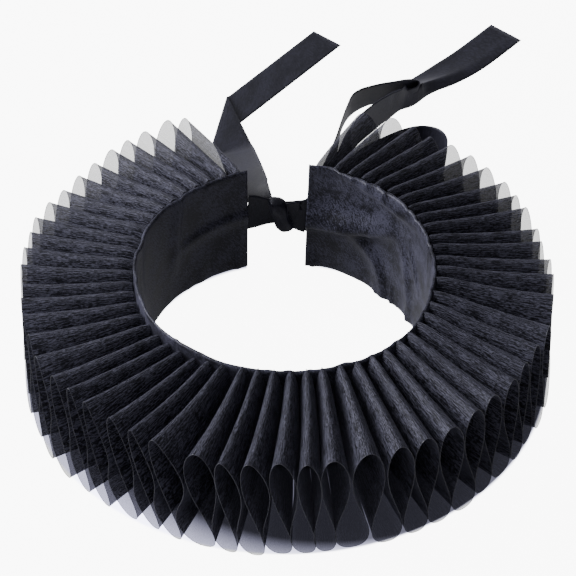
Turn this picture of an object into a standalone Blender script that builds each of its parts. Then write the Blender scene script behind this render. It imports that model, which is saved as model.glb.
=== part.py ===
"""Ruff collar: a black organza strip set in figure-eight pleats round a satin neck band.

It stands on its lower pleats. The neck opening is round and the band is open at the back, where
two satin ribbons are tied in a bow whose tails lie on the surface behind the ruff.
Sizes are in millimetres and turned into metres at the end. +Z is up and the back is at +Y.
Angles round the neck are measured from the front, and are positive towards +X.
"""

import math

import bmesh
import bpy
import numpy as np
from mathutils import Vector

MM = 0.001

# The neck band
BAND_INNER_RADIUS = 63.0
BAND_WALL = 1.8
BAND_HEIGHT = 56.5
BAND_EDGE_ROUND = 0.5
BAND_LEFT_END_DEG = -165.0
BAND_RIGHT_END_DEG = 171.5
BAND_STEPS = 96

# The pleated strip
SEAM_GAP = 0.3
STRIP_WALL = 1.0
RUFF_RADIUS = 110.0
RUFF_HEIGHT = 52.5
PLEATS = 55
STEPS_PER_PLEAT = 14
SLOPE_REACH = 0.25
RADIAL_STEPS = 2
LOOP_FULLNESS_INNER = 0.20
LOOP_FULLNESS_OUTER = 0.285
INNER_FIRST_DEG = -161.5
INNER_LAST_DEG = 168.0
INNER_UNEVENNESS = 0.4
INNER_LEAN = 0.5
TIP_HEIGHT_RIPPLE = 0.7
TIP_RIPPLE_RATES = (1.7, 0.61)
RADIUS_RIPPLE = 0.9
RADIUS_RIPPLE_RATES = (0.83, 2.3)

# pleat number, angle of its top at the outer edge, lean of that top (both in degrees)
PLEAT_ANGLES = (
    (-1, -161.5, -1.0),
    (0, -156.5, -1.0),
    (4, -136.9, -1.0),
    (8, -114.4, -1.5),
    (12, -92.5, -2.6),
    (14, -82.5, -3.6),
    (17, -64.0, -5.7),
    (20, -45.3, -6.6),
    (23, -27.0, -6.2),
    (24, -19.4, -5.0),
    (27, -1.6, -2.9),
    (30, 16.9, -0.9),
    (33, 36.3, -1.0),
    (36, 56.0, -0.9),
    (40, 82.0, -0.4),
    (44, 106.5, 0.2),
    (48, 128.7, 0.7),
    (52, 150.1, 0.7),
    (54, 162.0, 0.5),
    (55, 167.6, 0.5),
)

# The ribbon ties
RIBBON_WALL = 1.0
RIBBON_WIDTH = 16.0
STEPS_PER_SPAN = 4
FLOOR_GAP = 0.1

# Each row of a ribbon: x, y, z of its middle, the tilt of its width (degrees), its width
TIE_LEFT = (
    (-16.4, 63.3, 30.2, 90, 19.0),
    (-13.0, 63.9, 30.0, 90, 17.8),
    (-9.8, 64.2, 29.8, 90, 15.6),
    (-7.6, 64.3, 29.6, 90, 14.0),
)
TIE_RIGHT = (
    (8.6, 64.5, 27.4, 90, 19.0),
    (6.2, 64.6, 27.6, 90, 17.5),
    (4.4, 64.6, 27.8, 90, 15.6),
    (3.1, 64.6, 28.0, 90, 14.4),
)
LOOP_BACK = (
    (-3.5, 71.0, 26.0, 90, 6.5),
    (3.0, 76.5, 20.0, 90, 9.0),
    (8.6, 84.0, 13.0, 90, 13.0),
    (13.0, 98.0, 10.4, 90, 15.5),
    (17.6, 112.6, 9.2, 90, 16.0),
    (21.5, 127.0, 9.0, 88, 16.0),
    (24.2, 141.0, 9.0, 84, 16.0),
    (26.0, 150.6, 8.9, 80, 16.0),
    (28.6, 158.8, 8.8, 80, 16.0),
    (32.4, 163.6, 8.8, 77, 16.0),
    (37.4, 166.8, 8.8, 73, 16.0),
    (42.6, 168.4, 8.8, 70, 16.0),
    (46.9, 168.9, 9.0, 80, 16.0),
    (48.8, 167.4, 9.0, 90, 16.0),
    (47.0, 165.3, 9.0, 94, 16.0),
    (42.0, 160.2, 9.0, 94, 16.0),
    (36.2, 152.8, 9.0, 94, 16.0),
    (30.6, 144.8, 9.0, 92, 16.0),
    (26.3, 135.5, 9.0, 90, 16.0),
    (23.1, 124.5, 9.0, 90, 16.0),
    (19.4, 110.0, 9.2, 90, 16.0),
    (15.0, 97.0, 10.4, 90, 15.5),
    (10.2, 83.0, 13.0, 90, 13.0),
    (4.4, 75.0, 20.0, 90, 9.0),
    (-1.8, 70.4, 26.0, 90, 6.5),
)
LOOP_SIDE = (
    (1.9, 69.1, 24.5, 90, 7.0),
    (7.2, 72.6, 19.0, 90, 9.5),
    (13.3, 81.0, 13.0, 90, 13.0),
    (19.0, 94.5, 10.2, 90, 15.5),
    (24.0, 108.0, 9.2, 90, 16.0),
    (32.6, 119.0, 9.0, 94, 16.0),
    (46.0, 128.4, 8.9, 104, 16.0),
    (57.5, 134.2, 8.7, 110, 16.0),
    (66.0, 133.0, 8.7, 110, 16.0),
    (70.0, 125.5, 8.9, 98, 16.0),
    (67.6, 118.6, 8.9, 90, 16.0),
    (59.0, 118.4, 8.9, 90, 16.0),
    (46.5, 119.6, 8.9, 90, 16.0),
    (34.8, 114.4, 9.0, 90, 16.0),
    (25.2, 105.6, 9.2, 90, 16.0),
    (20.7, 93.6, 10.2, 90, 15.5),
    (14.9, 80.0, 13.0, 90, 13.0),
    (8.6, 71.4, 19.0, 90, 9.5),
    (3.4, 68.4, 24.5, 90, 7.0),
)
TAIL_RIGHT = (
    (0.1, 69.7, 24.5, 90, 7.0),
    (5.8, 73.8, 19.0, 90, 9.5),
    (11.8, 82.2, 13.0, 90, 13.0),
    (17.0, 96.0, 10.2, 90, 15.5),
    (21.3, 109.6, 9.2, 90, 16.0),
    (24.9, 123.4, 8.9, 90, 16.0),
    (27.8, 132.8, 8.8, 90, 16.0),
    (31.6, 141.4, 8.8, 90, 16.0),
    (36.4, 148.4, 8.8, 90, 16.0),
    (42.0, 155.8, 8.8, 90, 16.0),
    (47.4, 162.0, 8.4, 90, 15.2),
    (52.9, 169.6, 6.3, 104, 11.6),
    (57.4, 176.6, 4.2, 140, 11.0),
    (62.8, 183.6, 2.1, 168, 13.0),
    (70.2, 190.6, 1.0, 178, 15.8),
    (78.6, 198.2, 0.65, 180, 17.4),
    (101.6, 222.6, 0.65, 180, 17.6),
)
TAIL_LEFT = (
    (-5.7, 68.3, 31.6, 90, 7.5),
    (-9.2, 75.0, 29.5, 60, 10.5),
    (-13.6, 86.0, 24.0, 28, 14.0),
    (-17.9, 108.0, 14.5, 15, 16.0),
    (-21.8, 132.0, 5.0, 7, 16.0),
)
FOLD_MIDDLE = (-29.2, 157.1)
FOLD_RADIUS = 1.0
FOLD_HEADING_DEG = 108.5
FOLD_ANGLE_DEG = 29.0
FOLD_APPROACH = 22.0
FOLD_APPROACH_STEPS = 3
FOLD_SQUARE_ON = 4.0
FOLD_CURVE_STEPS = 6
TAIL_FLAT_START = 8.0
TAIL_FLAT_END = 79.5
TAIL_FLAT_STEPS = 8

# The knot
KNOT_CENTRE = (-2.3, 64.3, 28.3)
KNOT_HALF = (4.9, 3.9, 10.4)
KNOT_WAIST = 0.16
KNOT_WAIST_REACH = 0.35
KNOT_SQUARENESS = 0.72
KNOT_SHRINK = 0.86
KNOT_RINGS = 12
KNOT_SIDES = 20

MATERIALS = {
    "organza": ((0.016, 0.016, 0.021), 0.55),
    "band_satin": ((0.020, 0.020, 0.027), 0.38),
    "ribbon_satin": ((0.016, 0.016, 0.024), 0.32),
}


def clear_scene():
    for thing in list(bpy.data.objects):
        bpy.data.objects.remove(thing, do_unlink=True)


def material(name):
    colour, roughness = MATERIALS[name]
    made = bpy.data.materials.get(name) or bpy.data.materials.new(name)
    made.use_nodes = True
    shader = made.node_tree.nodes["Principled BSDF"]
    shader.inputs["Base Color"].default_value = (*colour, 1.0)
    shader.inputs["Roughness"].default_value = roughness
    shader.inputs["Metallic"].default_value = 0.0
    return made


def place(angle_deg, radius, height):
    """A point at an angle from the front, a distance from the neck's axis and a height."""
    angle = math.radians(angle_deg)
    return Vector((radius * math.sin(angle), -radius * math.cos(angle), height))


def object_from_sections(name, sections, surface):
    """A closed body from rings of points, each ring joined to the next, with flat ends."""
    bm = bmesh.new()
    rings = [[bm.verts.new(Vector(p) * MM) for p in ring] for ring in sections]
    count = len(rings[0])
    for near, far in zip(rings, rings[1:]):
        for k in range(count):
            after = (k + 1) % count
            bm.faces.new((near[k], near[after], far[after], far[k]))
    for ring in (rings[0], rings[-1]):
        half = count // 2
        for k in range(half - 1):
            bm.faces.new((ring[k], ring[k + 1], ring[count - 2 - k], ring[count - 1 - k]))
    return finished(name, bm, surface)


def finished(name, bm, surface):
    bmesh.ops.triangulate(bm, faces=bm.faces)
    bmesh.ops.recalc_face_normals(bm, faces=bm.faces)
    mesh = bpy.data.meshes.new(name)
    bm.to_mesh(mesh)
    bm.free()
    mesh.materials.append(material(surface))
    made = bpy.data.objects.new(name, mesh)
    bpy.context.scene.collection.objects.link(made)
    return made


def neck_band():
    inner = BAND_INNER_RADIUS
    outer = inner + BAND_WALL
    top = BAND_HEIGHT
    edge = BAND_EDGE_ROUND
    profile = (
        (inner + edge, 0.0),
        (inner, edge),
        (inner, top / 2),
        (inner, top - edge),
        (inner + edge, top),
        (outer - edge, top),
        (outer, top - edge),
        (outer, top / 2),
        (outer, edge),
        (outer - edge, 0.0),
    )
    sweep = BAND_RIGHT_END_DEG - BAND_LEFT_END_DEG
    sections = []
    for i in range(BAND_STEPS + 1):
        angle = BAND_LEFT_END_DEG + sweep * i / BAND_STEPS
        sections.append([place(angle, radius, height) for radius, height in profile])
    return object_from_sections("neck_band", sections, "band_satin")


def pleat_columns(pleat):
    """The angle and the lean of the pleats at the outer edge, at any place along the strip."""
    numbers, angles, leans = zip(*PLEAT_ANGLES)
    return np.interp(pleat, numbers, angles), np.interp(pleat, numbers, leans)


def even_angle(pleat, first, last):
    return first + (last - first) * pleat / (PLEATS - 1)


def wave_height(pleat):
    """From 0 in the flat of a lower loop to 1 in the flat of an upper one."""
    level = (1 + math.cos(2 * math.pi * pleat)) / 2
    flat = (1 - math.cos(math.pi / STEPS_PER_PLEAT)) / 2
    return (level - flat) / (1 - 2 * flat)


def strip_middle(pleat, out):
    """Angle and height of the cloth's middle: out is 0 at the neck and 1 at the outer edge."""
    outer_top, outer_lean = pleat_columns(pleat)
    even_outer = even_angle(pleat, PLEAT_ANGLES[1][1], PLEAT_ANGLES[-2][1])
    inner_top = even_angle(pleat, INNER_FIRST_DEG, INNER_LAST_DEG)
    inner_top += INNER_UNEVENNESS * (outer_top - even_outer)
    wide = pleat_columns(pleat + SLOPE_REACH)[0] - pleat_columns(pleat - SLOPE_REACH)[0]
    pitch_outer = wide / (2 * SLOPE_REACH)
    pitch_inner = (INNER_LAST_DEG - INNER_FIRST_DEG) / (PLEATS - 1)
    top = inner_top + (outer_top - inner_top) * out
    lean = outer_lean * (INNER_LEAN + (1 - INNER_LEAN) * out)
    pitch = pitch_inner + (pitch_outer - pitch_inner) * out
    fullness = LOOP_FULLNESS_INNER + (LOOP_FULLNESS_OUTER - LOOP_FULLNESS_INNER) * out
    swing = fullness * pitch * math.sin(4 * math.pi * pleat)
    level = wave_height(pleat)
    angle = top + swing - lean * (1 - level)
    fast, slow = TIP_RIPPLE_RATES
    ripple = TIP_HEIGHT_RIPPLE * (math.sin(fast * pleat) + math.sin(slow * pleat + 1) - 2)
    rise = RUFF_HEIGHT - STRIP_WALL + ripple * out
    return angle, STRIP_WALL / 2 + rise * level


def strip_radius(pleat, out):
    inner = BAND_INNER_RADIUS + BAND_WALL + SEAM_GAP
    slow, fast = RADIUS_RIPPLE_RATES
    outer = RUFF_RADIUS + RADIUS_RIPPLE * (math.sin(slow * pleat) + math.sin(fast * pleat) / 2)
    return inner + (outer - inner) * out


def mitred(line, offset):
    """The line moved sideways by the offset, so that its straight parts keep their distance."""
    points = [Vector(p) for p in line]
    sides = []
    for a, b in zip(points, points[1:]):
        along = (b - a).normalized()
        sides.append(Vector((-along.y, along.x)))
    sides = [sides[0]] + sides + [sides[-1]]
    moved = []
    for point, before, after in zip(points, sides, sides[1:]):
        moved.append(point + (before + after) * (offset / (1 + before.dot(after))))
    return moved


def ruff_frill():
    count = PLEATS * STEPS_PER_PLEAT
    pleats = [(i + 0.5) / STEPS_PER_PLEAT - 0.5 for i in range(count)]
    sides = {}
    for row in range(RADIAL_STEPS + 1):
        out = row / RADIAL_STEPS
        level_radius = strip_radius(0.0, out)
        degree = math.radians(level_radius)
        line = []
        for pleat in pleats:
            angle, height = strip_middle(pleat, out)
            line.append((angle * degree, height))
        for side in (1, -1):
            places = []
            for pleat, (along, height) in zip(pleats, mitred(line, side * STRIP_WALL / 2)):
                places.append(place(along / degree, strip_radius(pleat, out), height))
            sides[row, side] = places
    sections = []
    for i in range(count):
        left = [sides[row, 1][i] for row in range(RADIAL_STEPS + 1)]
        right = [sides[row, -1][i] for row in range(RADIAL_STEPS, -1, -1)]
        sections.append(left + right)
    return object_from_sections("ruff_frill", sections, "organza")


def smooth_rows(rows, steps):
    """Rows between the given ones, on a curve that passes through all of them."""
    table = np.array(rows, float)
    padded = np.vstack([2 * table[0] - table[1], table, 2 * table[-1] - table[-2]])
    made = []
    for i in range(1, len(table)):
        a, b, c, d = padded[i - 1 : i + 3]
        for k in range(steps):
            t = k / steps
            bend = (2 * a - 5 * b + 4 * c - d) * t * t + (3 * b - a - 3 * c + d) * t**3
            made.append(0.5 * (2 * b + (c - a) * t + bend))
    made.append(table[-1])
    return np.array(made)


def ribbon_edges(rows, steps=STEPS_PER_SPAN):
    """The two edges of a ribbon along its rows, as pairs of points."""
    made = smooth_rows(rows, steps)
    middles = [Vector(row[:3]) for row in made]
    pairs = []
    for i, row in enumerate(made):
        ahead = middles[min(i + 1, len(middles) - 1)] - middles[max(i - 1, 0)]
        ahead.normalize()
        side = ahead.cross(Vector((0, 0, 1))).normalized()
        up = side.cross(ahead)
        tilt = math.radians(row[3])
        across = (side * math.cos(tilt) + up * math.sin(tilt)) * (row[4] / 2)
        pairs.append((middles[i] - across, middles[i] + across))
    return pairs


def ribbon(name, pairs):
    """A ribbon with a wall of even thickness round the middle surface between its edges."""
    sections = []
    for i, (left, right) in enumerate(pairs):
        before = pairs[max(i - 1, 0)]
        after = pairs[min(i + 1, len(pairs) - 1)]
        corners = []
        for side, point in enumerate((left, right)):
            along = after[side] - before[side]
            normal = (right - left).cross(along).normalized()
            corners.append((point, normal * (RIBBON_WALL / 2)))
        (a, lift_a), (b, lift_b) = corners
        sections.append([a - lift_a, b - lift_b, b + lift_b, a + lift_a])
    return object_from_sections(name, sections, "ribbon_satin")


def folded_end():
    """Edges of the left tail from its approach to the fold to its cut end on the surface.

    Each row is a distance along the ribbon from the middle of the fold, and how far its line
    across the ribbon slants: 1 is parallel to the fold and 0 square to the ribbon.
    """
    heading = math.radians(FOLD_HEADING_DEG)
    ahead = Vector((math.cos(heading), math.sin(heading), 0))
    right = Vector((math.sin(heading), -math.cos(heading), 0))
    turn = math.radians(FOLD_ANGLE_DEG)
    fold_line = ahead * math.cos(turn) + right * math.sin(turn)
    outwards = ahead * math.sin(turn) - right * math.cos(turn)
    half = RIBBON_WIDTH / 2
    lead = half / math.tan(turn)
    steps = FOLD_APPROACH_STEPS
    approach = FOLD_APPROACH - FOLD_SQUARE_ON
    rows = [(approach * step / steps - FOLD_APPROACH, step / steps) for step in range(1, steps + 1)]
    curve = math.pi * FOLD_RADIUS / math.sin(turn)
    steps = FOLD_CURVE_STEPS
    rows += [(curve * step / steps, 1.0) for step in range(steps + 1)]
    flat_length = TAIL_FLAT_END - TAIL_FLAT_START
    steps = TAIL_FLAT_STEPS
    rows += [(TAIL_FLAT_START + flat_length * k / steps, 1 - k / steps) for k in range(steps + 1)]
    middle = Vector((*FOLD_MIDDLE, 0))
    low = RIBBON_WALL / 2 + FLOOR_GAP
    pairs = []
    for forward, slant in rows:
        points = []
        for across in (-half, half):
            u = forward + across / half * lead * slant
            distance = u * math.sin(turn) - across * math.cos(turn)
            along = u * math.cos(turn) + across * math.sin(turn)
            bend = min(max(distance / FOLD_RADIUS, 0.0), math.pi)
            flat = min(distance, 0.0) - max(distance - math.pi * FOLD_RADIUS, 0.0)
            reach = flat + FOLD_RADIUS * math.sin(bend)
            height = low + FOLD_RADIUS * (1 + math.cos(bend))
            points.append(middle + fold_line * along + outwards * reach + Vector((0, 0, height)))
        pairs.append(tuple(points))
    return pairs


def tail_left():
    return ribbon("tie_tail_left", ribbon_edges(TAIL_LEFT) + folded_end())


def knot():
    """A tied knot: a lump that is narrower at its waist, where the last wrap crosses it."""
    centre = Vector(KNOT_CENTRE)
    bm = bmesh.new()
    bmesh.ops.create_uvsphere(bm, u_segments=KNOT_SIDES, v_segments=KNOT_RINGS, radius=1.0)
    for vert in bm.verts:
        x, y, z = vert.co
        waist = 1 - KNOT_WAIST * math.exp(-((z / KNOT_WAIST_REACH) ** 2))
        box = KNOT_SHRINK / math.sqrt(max(abs(x), abs(y), abs(z), KNOT_SQUARENESS))
        wide = Vector((x * KNOT_HALF[0] * waist, y * KNOT_HALF[1] * waist, z * KNOT_HALF[2]))
        vert.co = (centre + wide * box) * MM
    return finished("tie_knot", bm, "ribbon_satin")


def centre_on_box(parts):
    """Moves everything so that the middle of the whole box stands over the origin."""
    points = np.array([tuple(v.co) for part in parts for v in part.data.vertices])
    low, high = points.min(axis=0), points.max(axis=0)
    shift = Vector(((low[0] + high[0]) / 2, (low[1] + high[1]) / 2, low[2]))
    for part in parts:
        for vert in part.data.vertices:
            vert.co -= shift
    print("ring centre in mm:", [round(-value / MM, 3) for value in shift])


def main():
    clear_scene()
    parts = [
        neck_band(),
        ruff_frill(),
        ribbon("tie_left", ribbon_edges(TIE_LEFT)),
        ribbon("tie_right", ribbon_edges(TIE_RIGHT)),
        knot(),
        ribbon("tie_loop_back", ribbon_edges(LOOP_BACK)),
        ribbon("tie_loop_side", ribbon_edges(LOOP_SIDE)),
        tail_left(),
        ribbon("tie_tail_right", ribbon_edges(TAIL_RIGHT)),
    ]
    centre_on_box(parts)


main()
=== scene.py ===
"""Ruff collar: a strip of black organza in figure-eight pleats round a satin neck band, tied with
ribbons.

Sizes in the tables are millimetres from the ring's centre, which is the point on the surface below
the middle of the neck opening. +Y is the back and +Z is up. Angles round the neck are degrees from
the front, positive towards +X. Everything is turned into metres in the frame when it is placed.
"""

import math

import bmesh
import bpy
import numpy as np
from bpy.props import FloatProperty, FloatVectorProperty, PointerProperty
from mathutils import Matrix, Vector


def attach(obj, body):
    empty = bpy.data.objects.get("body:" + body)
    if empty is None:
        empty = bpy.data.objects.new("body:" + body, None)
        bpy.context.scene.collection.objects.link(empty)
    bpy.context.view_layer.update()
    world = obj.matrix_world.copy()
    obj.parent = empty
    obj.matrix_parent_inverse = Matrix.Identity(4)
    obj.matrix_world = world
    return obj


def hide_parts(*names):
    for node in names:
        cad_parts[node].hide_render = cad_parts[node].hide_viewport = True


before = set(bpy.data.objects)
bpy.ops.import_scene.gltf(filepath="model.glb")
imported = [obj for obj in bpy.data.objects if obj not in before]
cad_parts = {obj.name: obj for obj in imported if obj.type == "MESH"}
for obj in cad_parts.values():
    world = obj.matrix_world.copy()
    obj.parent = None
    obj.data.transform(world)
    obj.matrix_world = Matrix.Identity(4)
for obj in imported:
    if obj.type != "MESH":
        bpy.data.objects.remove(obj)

bl_info = {
    "name": "Ruff collar",
    "version": (1, 0, 0),
    "blender": (4, 5, 0),
    "location": "View3D > Sidebar > Ruff collar",
    "description": "Builds a pleated organza ruff collar with a satin neck band and a tied bow",
    "category": "Object",
}

MM = 0.001
RING_CENTRE = np.array((-0.144, -59.016, 0.0))
TABLE_STEPS = 12

# The neck band
BAND_WALL = 1.4
BAND_LEFT_END_DEG = -165.0
BAND_RIGHT_END_DEG = 171.2
BAND_RIGHT_FOOT_DEG = 172.6
BAND_FOOT_FROM_DEG = 150
MM_PER_DEGREE = 1.1
BAND_STEPS = 420
BAND_ROUND_STEPS = 84

# angle, inner radius at the rim, inner radius at the foot, height of the rim
BAND_FORM = (
    (-165, 63.0, 64.0, 55.5), (-155, 63.0, 64.0, 55.4), (-135, 62.8, 62.6, 55.4),
    (-118, 62.4, 61.8, 55.6), (-108, 62.0, 61.8, 56.5), (-90, 61.8, 61.5, 56.5),
    (-57, 62.0, 61.5, 56.5), (-38, 61.6, 61.5, 56.3), (-26, 61.2, 61.5, 55.6),
    (-15, 60.5, 61.5, 55.4), (0, 60.75, 61.5, 55.4), (15, 61.0, 61.5, 55.4),
    (30, 62.2, 61.5, 55.4), (50, 61.9, 61.0, 55.5), (75, 60.9, 60.0, 55.8),
    (95, 60.6, 59.0, 56.2), (115, 61.2, 58.8, 56.8), (137, 62.4, 59.8, 57.6),
    (149, 62.8, 61.3, 58.0), (160, 63.0, 62.6, 58.0), (173, 63.0, 63.0, 58.0),
)

# Each crease inside the band: its reach on its left and on its right, looking along it, and its
# points as angle, height and how far it stands in
CREASES = (
    (3.2, 8.0, ((175, 26.0, 3.6), (162.5, 27.3, 4.8), (154.1, 29.1, 5.4), (142.8, 32.5, 4.4),
                (128.5, 39.8, 0.0))),
    (5.0, 1.6, ((153.5, 27.5, 0.0), (151.9, 26.0, 1.6), (146, 22, 2.4), (141, 17.6, 2.4),
                (138, 10, 1.8), (136, -2, 1.4))),
    (5.5, 6.5, ((156.4, 60, 1.3), (156.2, 40, 1.1), (155.6, 24, 0.9), (155.6, -2, 0.4))),
    (1.5, 4.5, ((158, 57.4, 0.6), (147.8, 53.9, 1.6), (138, 52.0, 1.8), (130, 50.0, 1.5),
                (116.5, 51.7, 0.4), (110, 53, 0.0))),
    (0.8, 1.6, ((122.8, 39.2, 0.0), (121, 36, 0.8), (118.1, 32.4, 1.0), (113.6, 25.6, 0.7),
                (110, 19, 0.0))),
    (3.5, 2.2, ((128, 39, 0.0), (124, 30, 1.2), (120.5, 20, 1.3), (118, 8, 0.9), (117, -2, 0.6))),
    (1.1, 1.6, ((136.8, 13, 0.0), (136.3, 9, 0.9), (134.4, -1, 1.2))),
    (1.0, 1.4, ((132.3, 11, 0.0), (131.5, 7, 0.8), (130.5, -1, 1.1))),
    (0.9, 1.3, ((120.5, 8, 0.0), (119.4, 4, 0.7), (118, -1, 1.0))),
    (0.8, 0.8, ((172.2, -2, 0.5), (171.4, 28, 0.45), (170.6, 60, 0.5))),
    (2.0, 4.5, ((-166, 31, 1.4), (-150, 29, 1.6), (-137, 27, 0.9), (-128, 28, 0.0))),
    (4.0, 2.0, ((-136, 60, 1.2), (-133, 42, 1.4), (-131, 24, 0.9), (-131, 12, 0.0))),
    (3.0, 5.0, ((-104, 60, 0.9), (-101, 38, 1.2), (-103, 16, 1.0), (-104, -2, 0.6))),
    (4.5, 2.5, ((-72, 60, 0.0), (-66, 44, 1.1), (-58, 30, 1.3), (-50, 22, 0.0))),
    (2.5, 5.0, ((-24, -2, 0.8), (-20, 16, 1.2), (-12, 30, 0.8), (-4, 38, 0.0))),
    (5.0, 2.6, ((20, 60, 0.7), (24, 40, 1.2), (31, 24, 1.0), (36, 12, 0.0))),
    (3.0, 4.5, ((66, -2, 0.7), (68, 18, 1.3), (75, 36, 1.0), (84, 47, 0.0))),
)

# Short puckers down from the band's rim: their angles, how far they stand in, their half width in
# degrees, their slant and how far down they reach
RIM_PUCKERS_DEG = (153, 146, 140.5, 137.5, 125, 118)
RIM_PUCKER_DEPTH = 0.7
RIM_PUCKER_HALF_DEG = 0.9
RIM_PUCKER_SLANT = 0.2
RIM_PUCKER_REACH = 4.5

# Small puckers along the foot and along the rim, drawn between limits for their angle, half width
# in degrees, length, depth and slant
PUCKERS = 46
PUCKER_LIMITS = ((-164, 171), (0.7, 2.2), (3, 12), (-0.35, 0.7), (-0.3, 0.3))

# Slow waves over the whole band: how much each one turns per degree and per millimetre of height,
# and where it begins
SLOW_WAVE_DEPTH = 0.22
SLOW_WAVES = ((0.11, 0.09, 0.0), (0.17, -0.12, 2.0))

# The pleated strip. The fullness is how far a pleat swings to either side, as a share of the way
# to the next one. The skew turns the tops of the pleats that lean. The shoulder flattens the tops
# and bottoms beside the band, and the tops bend over the band's rim.
PLEATS = 55
STEPS_PER_PLEAT = 44
RADIAL_STEPS = 16
SLOPE_REACH = 0.25
FULLNESS_INNER = 0.31
FULLNESS_OUTER = 0.335
FULLNESS_LIMITS = (-0.05, 0.04)
TIP_POINT = -0.10
LEVEL_POWER = 1.3
INNER_FIRST_DEG = -161.5
INNER_LAST_DEG = 168.0
INNER_UNEVENNESS = 0.4
INNER_LEAN = 0.5
APEX_SKEW = 0.017
APEX_SKEW_FROM_LEAN = 1.0
APEX_SKEW_LEAN_RANGE = 7.0
NECK_SHOULDER = 1.0
NECK_SHOULDER_REACH = 2.2
NECK_RISE_POWER = 2.2
NECK_GAP = 0.3
RIM_BEND_BELOW = 0.2
RIM_BEND_REACH = 0.8
RIM_BEND_INSET = 0.15
FRILL_DEPTH = 45.0
FRILL_LIFT = 0.3
TIP_HEIGHT_RIPPLE = 0.7
TIP_RIPPLE_RATES = (1.7, 0.61)
RADIUS_RIPPLE = 0.9
RADIUS_RIPPLE_RATES = (0.83, 2.3)
DENT_DEPTH = 0.55
DENT_PLACES = (0.35, 0.75)
DENT_REACHES = (0.12, 0.3)
SEED = 11

# angle, height of the pleats' tops where they meet the band
NECK_TOPS = (
    (-175, 57.0), (-150, 57.0), (-122, 56.8), (-112, 54.4), (-100, 53.8), (-60, 53.8), (-38, 54.2),
    (-26, 56.6), (0, 57.2), (60, 57.2), (95, 57.4), (125, 57.4), (175, 57.4),
)

# the angle of each pleat's top at the outer edge and the lean of that top, in degrees
PLEAT_TOPS = (
    (-156.5, -1.0), (-152.5, -1.0), (-146.4, -1.0), (-141.9, -1.0), (-136.9, -1.0),
    (-131.0, -1.1), (-126.1, -1.2), (-120.0, -1.4), (-114.4, -1.5), (-108.7, -1.7),
    (-104.2, -2.0), (-98.5, -2.3), (-92.5, -2.6), (-86.7, -3.0), (-83.0, -3.3),
    (-77.1, -4.3), (-70.4, -5.5), (-64.0, -5.8), (-57.0, -5.6), (-51.5, -6.3),
    (-46.0, -7.0), (-38.8, -6.4), (-33.3, -6.6), (-27.3, -5.7), (-18.0, -3.1),
    (-12.9, -3.8), (-7.1, -3.2), (-1.0, -2.7), (4.6, -2.0), (9.8, -0.8),
    (17.5, -0.4), (24.3, -1.3), (30.4, -0.9), (36.5, -0.7), (43.4, -1.0),
    (49.5, -0.9), (56.5, -0.9), (62.0, -0.8), (67.5, -0.7), (73.8, -0.5),
    (83.9, -0.4), (90.0, -0.3), (94.5, -0.1), (101.3, 0.1), (105.4, 0.2),
    (112.6, 0.3), (117.6, 0.4), (123.0, 0.6), (128.9, 0.7), (133.8, 0.7),
    (139.5, 0.7), (145.1, 0.7), (149.7, 0.7), (155.1, 0.6), (162.0, 0.5),
)

# The ribbons
RIBBON_WIDTH = 16.0
STEPS_PER_SPAN = 10
RIBBON_ACROSS_STEPS = 14
FLOOR_GAP = 0.35

# Each row of a ribbon: x, y, z of its middle, the tilt of its width (degrees), its width
TIE_LEFT = (
    (-16.4, 63.3, 30.2, 90, 19.0), (-13.0, 63.9, 30.0, 90, 17.8),
    (-9.8, 64.2, 29.8, 90, 15.6), (-7.6, 64.3, 29.6, 90, 14.0), (-3.0, 64.3, 29.0, 90, 11.0),
)
TIE_RIGHT = (
    (8.6, 64.5, 27.4, 90, 19.0), (6.2, 64.6, 27.6, 90, 17.5),
    (4.4, 64.6, 27.8, 90, 15.6), (3.1, 64.6, 28.0, 90, 14.4), (-2.0, 64.4, 28.4, 90, 11.0),
)
LOOP_BACK = (
    (-3.5, 71.0, 26.0, 90, 6.5), (3.0, 76.5, 20.0, 90, 9.0), (8.6, 84.0, 13.0, 90, 13.0),
    (13.0, 98.0, 10.4, 90, 15.5), (17.6, 112.6, 9.2, 90, 16.0), (21.5, 127.0, 9.0, 88, 16.0),
    (24.2, 141.0, 9.0, 84, 16.0), (26.0, 150.6, 8.9, 80, 16.0), (28.6, 158.8, 8.8, 80, 16.0),
    (32.4, 163.6, 8.8, 77, 16.0), (37.4, 166.8, 8.8, 73, 16.0), (42.6, 168.8, 8.8, 72, 16.0),
    (48.2, 170.8, 8.0, 78, 14.4), (52.6, 173.0, 7.0, 86, 12.4), (56.2, 175.4, 5.9, 90, 10.2),
    (58.6, 177.0, 4.9, 90, 8.2), (59.6, 176.4, 4.5, 90, 7.2), (59.0, 174.8, 4.4, 90, 7.0),
    (56.6, 172.6, 4.6, 90, 7.6), (53.0, 169.8, 5.2, 90, 8.8), (48.4, 165.6, 6.8, 90, 12.0),
    (42.4, 158.6, 7.2, 90, 13.4), (36.2, 151.4, 7.2, 90, 13.4), (31.0, 143.8, 7.2, 90, 13.4),
    (26.5, 134.5, 7.3, 90, 13.4), (23.4, 124.3, 7.6, 90, 13.6), (19.6, 110.0, 8.2, 90, 14.0),
    (15.0, 97.0, 10.0, 90, 15.0), (10.2, 83.0, 13.0, 90, 13.0), (4.4, 75.0, 20.0, 90, 9.0),
    (-1.8, 70.4, 26.0, 90, 6.5),
)
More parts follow.
